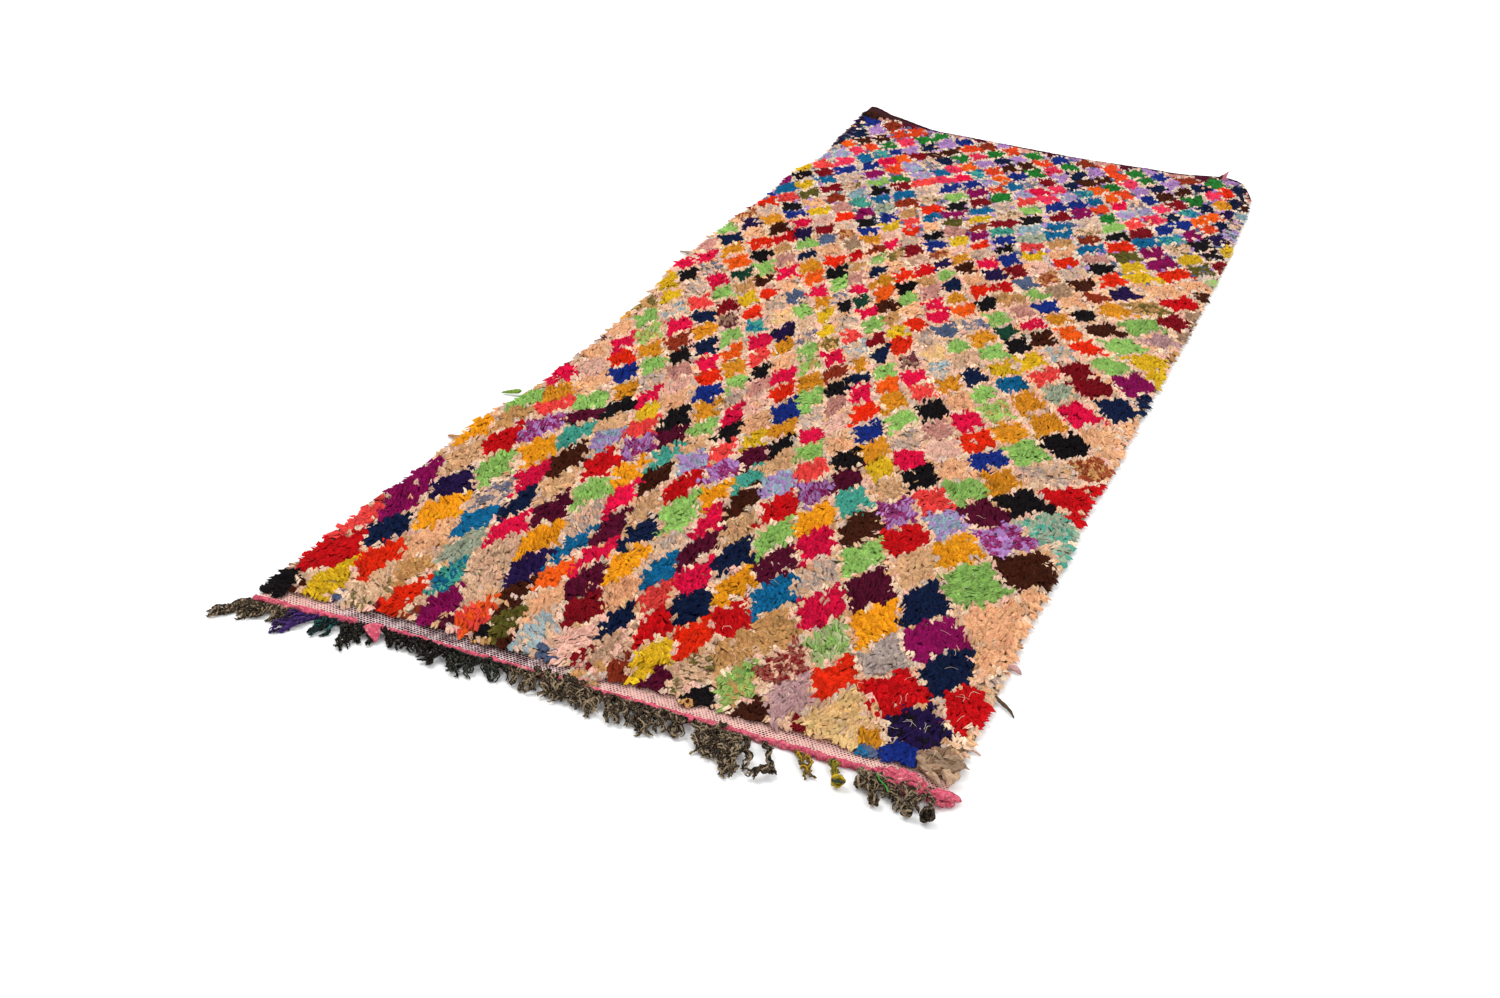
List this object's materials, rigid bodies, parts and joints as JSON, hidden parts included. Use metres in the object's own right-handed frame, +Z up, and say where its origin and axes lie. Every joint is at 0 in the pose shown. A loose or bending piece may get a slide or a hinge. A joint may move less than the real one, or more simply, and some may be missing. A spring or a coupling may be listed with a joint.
{
  "type": "boucherouite rug",
  "caption": "Long hand-knotted rag pile rug that lies flat, with flat-woven ends, a twisted rag edging with a bow and a knotted yarn fringe at one end",
  "frame": {"origin": "on the floor, under the middle of the whole rug with its fringe", "axes": "+X across the rug from the left long edge to the right as seen from the fringe; +Y along the rug away from the fringe; +Z up from the floor"},
  "size_m": [1.2069, 3.1581, 0.0394],
  "materials": {
    "rag_pile": "cut rag pile in lozenges of many colours with cream outlines",
    "pink_rag": "twisted cotton jersey rag",
    "heather_yarn": "curly heather wool and cotton yarn"
  },
  "bodies": {
    "root": {"pile_field": "rag_pile", "rag_edging_left": "pink_rag", "rag_edging_right": "pink_rag", "edging_bow": "pink_rag", "fringe": "heather_yarn"}
  },
  "joints": []
}
